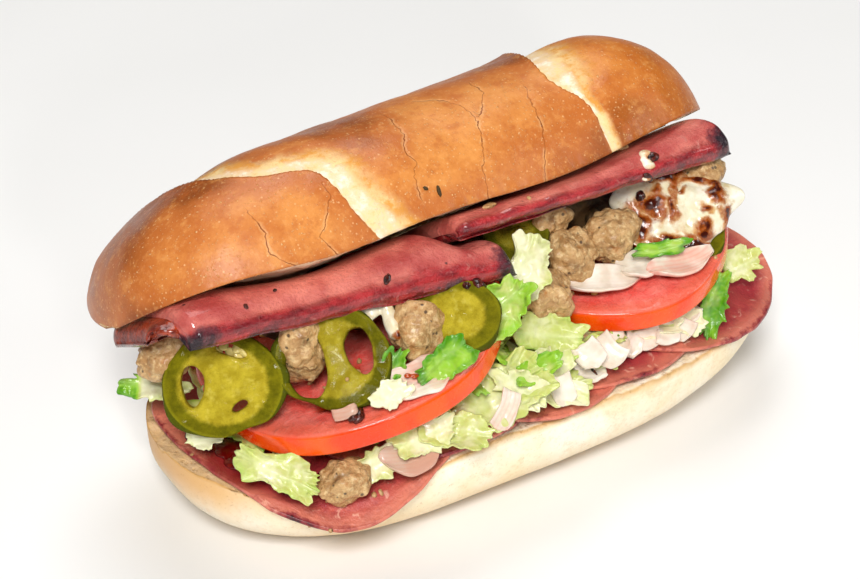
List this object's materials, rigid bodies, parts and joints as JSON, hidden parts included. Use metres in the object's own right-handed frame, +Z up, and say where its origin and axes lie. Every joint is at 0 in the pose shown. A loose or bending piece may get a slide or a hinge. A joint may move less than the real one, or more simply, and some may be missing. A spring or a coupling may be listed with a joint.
{
  "type": "submarine sandwich",
  "caption": "Open-sided hot submarine sandwich: split roll over folded ham, sausage, pickled pepper, melted cheese, tomato, lettuce and salami.",
  "frame": {"origin": "middle of the lower half's flat base", "axes": "+X along the roll, -Y towards the open side that shows the filling, +Z up"},
  "size_m": [0.1571, 0.0832, 0.0744],
  "materials": {
    "crust": "baked golden-brown crust, satin",
    "pale_crust": "pale baked crust and open crumb, matt",
    "salami": "moist cured meat, semi-gloss",
    "tomato": "wet tomato flesh and skin, glossy",
    "sausage": "crumbled cooked sausage with pepper specks",
    "pickled_pepper": "pickled green pepper, wet gloss",
    "ham": "grilled folded ham, glossy with dark edges",
    "cheese": "melted white cheese with browned blisters",
    "onion": "raw onion, translucent",
    "lettuce": "crisp lettuce leaf",
    "shredded_lettuce": "shredded lettuce",
    "chopped_topping": "chopped meat and pepper in shadow"
  },
  "bodies": {
    "root": {"bread_top": "crust", "bread_bottom": "pale_crust", "salami_1": "salami", "salami_2": "salami", "salami_3": "salami", "salami_4": "salami", "salami_5": "salami", "tomato_1": "tomato", "tomato_2": "tomato", "ham_1": "ham", "ham_2": "ham", "ham_3": "ham", "sausage_1": "sausage", "sausage_2": "sausage", "sausage_3": "sausage", "sausage_4": "sausage", "sausage_5": "sausage", "sausage_6": "sausage", "sausage_7": "sausage", "sausage_8": "sausage", "sausage_9": "sausage", "sausage_10": "sausage", "jalapeno_1": "pickled_pepper", "jalapeno_2": "pickled_pepper", "jalapeno_3": "pickled_pepper", "jalapeno_4": "pickled_pepper", "jalapeno_5": "pickled_pepper", "cheese_1": "cheese", "cheese_2": "cheese", "onion_1": "onion", "onion_2": "onion", "onion_3": "onion", "onion_4": "onion", "onion_5": "onion", "onion_6": "onion", "lettuce_1": "lettuce", "lettuce_2": "lettuce", "lettuce_3": "lettuce", "lettuce_4": "lettuce", "lettuce_5": "lettuce", "lettuce_6": "lettuce", "lettuce_7": "lettuce", "lettuce_8": "lettuce", "lettuce_9": "lettuce", "lettuce_10": "lettuce", "lettuce_bed": "shredded_lettuce", "topping_core": "chopped_topping"}
  },
  "joints": []
}
